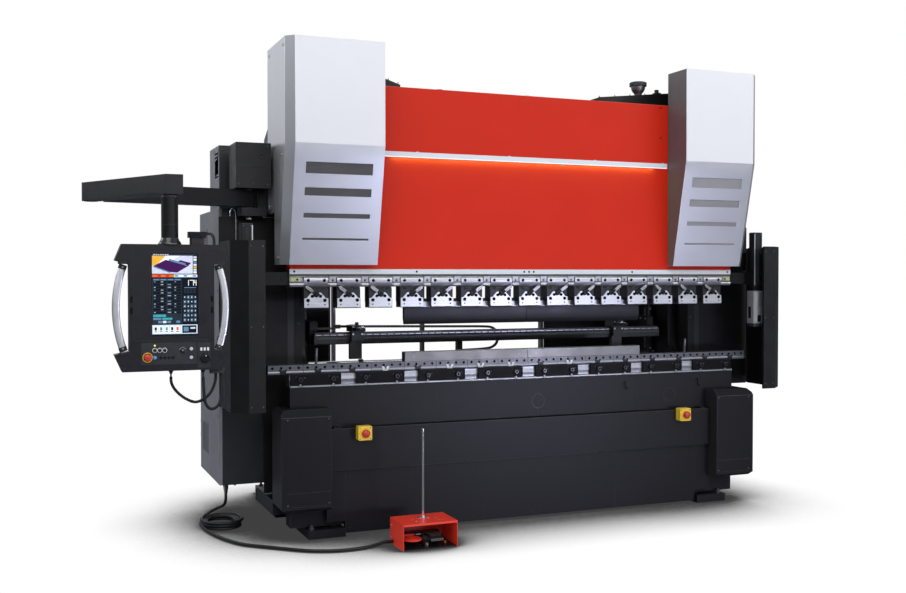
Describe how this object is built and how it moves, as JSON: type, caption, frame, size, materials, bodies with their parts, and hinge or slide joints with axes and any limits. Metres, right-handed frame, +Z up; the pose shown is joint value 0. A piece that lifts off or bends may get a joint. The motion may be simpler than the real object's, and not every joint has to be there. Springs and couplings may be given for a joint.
{
  "type": "hybrid press brake",
  "caption": "Down-stroking press brake with swinging control pendant, quick tool holders, side guards, back gauge and floor pedal, for bending sheet metal.",
  "frame": {"origin": "on the floor, in the middle of the rectangle of the four front anchor holes", "axes": "+X to the operator's right along the bending line, +Y to the back of the machine, +Z up"},
  "size_m": [4.62, 2.114, 2.903],
  "materials": {
    "charcoal_coat": "fine textured powder coat, dark charcoal",
    "black_coat": "satin black powder coat",
    "silver_coat": "silver grey metallic paint",
    "red_coat": "bright red gloss paint",
    "foot_red": "orange red powder coat",
    "ground_steel": "ground and chrome plated steel",
    "dark_steel": "blackened, hardened tool steel",
    "grey_coat": "mid grey textured coat",
    "yellow_plastic": "yellow moulded housing",
    "red_plastic": "red mushroom button",
    "pendant_shell": "dark blue grey moulded housing",
    "display": "display glass and keypad foil",
    "aluminium_grip": "satin anodised tube",
    "black_plastic": "black moulded plastic",
    "pale_button": "pale push buttons",
    "cable_rubber": "black cable sheath",
    "led_white": "opal light strip in an aluminium bar"
  },
  "bodies": {
    "frame": {"machine_frame": "charcoal_coat", "lower_beam": "charcoal_coat", "front_panels": "charcoal_coat", "wedge_rail": "ground_steel", "die_rail": "ground_steel", "dies": "ground_steel", "clamp_blocks": "charcoal_coat", "column_covers": "silver_coat", "hydraulics": "black_coat", "side_covers": "charcoal_coat", "guard_panels": "black_coat", "electrical_cabinet": "charcoal_coat", "arm_bracket": "black_coat", "estop_boxes": "yellow_plastic", "foot_switch_hood": "foot_red", "foot_switch_base": "black_plastic", "floor_cord": "cable_rubber", "floor_cord_coil": "cable_rubber"},
    "ram": {"ram_beam": "red_coat", "light_bar": "led_white", "tool_rail": "ground_steel", "tool_holders": "ground_steel", "punches": "dark_steel", "cylinder_rods": "ground_steel", "laser_units": "black_coat"},
    "lever_01": {"lever_01": "ground_steel"},
    "lever_02": {"lever_02": "ground_steel"},
    "lever_03": {"lever_03": "ground_steel"},
    "lever_04": {"lever_04": "ground_steel"},
    "lever_05": {"lever_05": "ground_steel"},
    "lever_06": {"lever_06": "ground_steel"},
    "lever_07": {"lever_07": "ground_steel"},
    "lever_08": {"lever_08": "ground_steel"},
    "lever_09": {"lever_09": "ground_steel"},
    "lever_10": {"lever_10": "ground_steel"},
    "lever_11": {"lever_11": "ground_steel"},
    "lever_12": {"lever_12": "ground_steel"},
    "lever_13": {"lever_13": "ground_steel"},
    "lever_14": {"lever_14": "ground_steel"},
    "lever_15": {"lever_15": "ground_steel"},
    "inner_arm": {"inner_arm": "black_coat"},
    "outer_arm": {"outer_arm": "charcoal_coat"},
    "pendant": {"pendant_housing": "pendant_shell", "pendant_screen": "display", "pendant_handles": "aluminium_grip", "stylus_cord": "cable_rubber"},
    "pendant_stop": {"pendant_stop": "red_plastic"},
    "jog_knob": {"jog_knob": "black_plastic"},
    "pendant_buttons": {"pendant_buttons": "pale_button"},
    "left_door": {"left_door": "charcoal_coat"},
    "right_door": {"right_door": "charcoal_coat"},
    "cabinet_door": {"cabinet_door": "grey_coat"},
    "stop_button_left": {"stop_button_left": "red_plastic"},
    "stop_button_right": {"stop_button_right": "red_plastic"},
    "gauge_carriage": {"gauge_carriage": "charcoal_coat"},
    "gauge_beam": {"gauge_beam": "black_coat"},
    "gauge_head_left": {"gauge_head_left": "black_coat"},
    "gauge_head_right": {"gauge_head_right": "black_coat"},
    "pedal_left": {"pedal_left": "foot_red"},
    "pedal_right": {"pedal_right": "black_plastic"}
  },
  "joints": [
    {"name": "ram_stroke", "type": "slide", "parent": "frame", "child": "ram", "axis": [0, 0, 1], "range_m": [-0.16, 0]},
    {"name": "lever_01_turn", "type": "hinge", "parent": "ram", "child": "lever_01", "pos_m": [-1.3995, -0.054, 1.435], "axis": [0, 1, 0], "range_deg": [0, 110]},
    {"name": "lever_02_turn", "type": "hinge", "parent": "ram", "child": "lever_02", "pos_m": [-1.1995, -0.054, 1.435], "axis": [0, 1, 0], "range_deg": [0, 110]},
    {"name": "lever_03_turn", "type": "hinge", "parent": "ram", "child": "lever_03", "pos_m": [-0.9995, -0.054, 1.435], "axis": [0, 1, 0], "range_deg": [0, 110]},
    {"name": "lever_04_turn", "type": "hinge", "parent": "ram", "child": "lever_04", "pos_m": [-0.7995, -0.054, 1.435], "axis": [0, 1, 0], "range_deg": [-110, 0]},
    {"name": "lever_05_turn", "type": "hinge", "parent": "ram", "child": "lever_05", "pos_m": [-0.5995, -0.054, 1.435], "axis": [0, 1, 0], "range_deg": [-110, 0]},
    {"name": "lever_06_turn", "type": "hinge", "parent": "ram", "child": "lever_06", "pos_m": [-0.3995, -0.054, 1.435], "axis": [0, 1, 0], "range_deg": [-110, 0]},
    {"name": "lever_07_turn", "type": "hinge", "parent": "ram", "child": "lever_07", "pos_m": [-0.1995, -0.054, 1.435], "axis": [0, 1, 0], "range_deg": [-110, 0]},
    {"name": "lever_08_turn", "type": "hinge", "parent": "ram", "child": "lever_08", "pos_m": [0.0005, -0.054, 1.435], "axis": [0, 1, 0], "range_deg": [-110, 0]},
    {"name": "lever_09_turn", "type": "hinge", "parent": "ram", "child": "lever_09", "pos_m": [0.2005, -0.054, 1.435], "axis": [0, 1, 0], "range_deg": [-110, 0]},
    {"name": "lever_10_turn", "type": "hinge", "parent": "ram", "child": "lever_10", "pos_m": [0.4005, -0.054, 1.435], "axis": [0, 1, 0], "range_deg": [-110, 0]},
    {"name": "lever_11_turn", "type": "hinge", "parent": "ram", "child": "lever_11", "pos_m": [0.6005, -0.054, 1.435], "axis": [0, 1, 0], "range_deg": [-110, 0]},
    {"name": "lever_12_turn", "type": "hinge", "parent": "ram", "child": "lever_12", "pos_m": [0.8005, -0.054, 1.435], "axis": [0, 1, 0], "range_deg": [-110, 0]},
    {"name": "lever_13_turn", "type": "hinge", "parent": "ram", "child": "lever_13", "pos_m": [1.0005, -0.054, 1.435], "axis": [0, 1, 0], "range_deg": [0, 110]},
    {"name": "lever_14_turn", "type": "hinge", "parent": "ram", "child": "lever_14", "pos_m": [1.2005, -0.054, 1.435], "axis": [0, 1, 0], "range_deg": [0, 110]},
    {"name": "lever_15_turn", "type": "hinge", "parent": "ram", "child": "lever_15", "pos_m": [1.4005, -0.054, 1.435], "axis": [0, 1, 0], "range_deg": [0, 110]},
    {"name": "arm_swing", "type": "hinge", "parent": "frame", "child": "inner_arm", "pos_m": [-1.745, 0.205, 1.955], "axis": [0, 0, 1], "range_deg": [-11, 35]},
    {"name": "elbow_swing", "type": "hinge", "parent": "inner_arm", "child": "outer_arm", "pos_m": [-2.655, 0.01, 1.955], "axis": [0, 0, 1], "range_deg": [-45, 8]},
    {"name": "pendant_swivel", "type": "hinge", "parent": "outer_arm", "child": "pendant", "pos_m": [-2.32, -0.648, 1.735], "axis": [0, 0, 1], "range_deg": [-60, 60]},
    {"name": "pendant_stop_push", "type": "slide", "parent": "pendant", "child": "pendant_stop", "axis": [0, 1, 0], "range_m": [0, 0.0035], "stiffness_N_per_m": 1500},
    {"name": "jog_knob_turn", "type": "hinge", "parent": "pendant", "child": "jog_knob", "pos_m": [-2.153, -0.7, 1.128], "axis": [0, 1, 0], "continuous": true},
    {"name": "pendant_buttons_push", "type": "slide", "parent": "pendant", "child": "pendant_buttons", "axis": [0, 1, 0], "range_m": [0, 0.003], "stiffness_N_per_m": 800},
    {"name": "left_door_hinge", "type": "hinge", "parent": "frame", "child": "left_door", "pos_m": [-1.905, 0.25, 1.2], "axis": [0, 0, -1], "range_deg": [0, 95]},
    {"name": "right_door_hinge", "type": "hinge", "parent": "frame", "child": "right_door", "pos_m": [1.905, 0.25, 1.2], "axis": [0, 0, 1], "range_deg": [0, 95]},
    {"name": "cabinet_door_hinge", "type": "hinge", "parent": "frame", "child": "cabinet_door", "pos_m": [-1.902, 1.008, 1.1], "axis": [0, 0, -1], "range_deg": [0, 105]},
    {"name": "stop_left_push", "type": "slide", "parent": "frame", "child": "stop_button_left", "axis": [0, 1, 0], "range_m": [0, 0.006], "stiffness_N_per_m": 1500},
    {"name": "stop_right_push", "type": "slide", "parent": "frame", "child": "stop_button_right", "axis": [0, 1, 0], "range_m": [0, 0.006], "stiffness_N_per_m": 1500},
    {"name": "gauge_depth", "type": "slide", "parent": "frame", "child": "gauge_carriage", "axis": [0, 1, 0], "range_m": [-0.22, 0.35]},
    {"name": "gauge_height", "type": "slide", "parent": "gauge_carriage", "child": "gauge_beam", "axis": [0, 0, 1], "range_m": [-0.05, 0.12]},
    {"name": "head_left_shift", "type": "slide", "parent": "gauge_beam", "child": "gauge_head_left", "axis": [1, 0, 0], "range_m": [-0.2, 0.85]},
    {"name": "head_right_shift", "type": "slide", "parent": "gauge_beam", "child": "gauge_head_right", "axis": [1, 0, 0], "range_m": [-0.85, 0.3]},
    {"name": "pedal_left_press", "type": "hinge", "parent": "frame", "child": "pedal_left", "pos_m": [-0.96, -0.406, 0.05], "axis": [1, 0, 0], "range_deg": [0, 9], "stiffness_Nm_per_rad": 60, "springref_deg": -2.86},
    {"name": "pedal_right_press", "type": "hinge", "parent": "frame", "child": "pedal_right", "pos_m": [-0.825, -0.406, 0.05], "axis": [1, 0, 0], "range_deg": [0, 9], "stiffness_Nm_per_rad": 60, "springref_deg": -2.86}
  ]
}
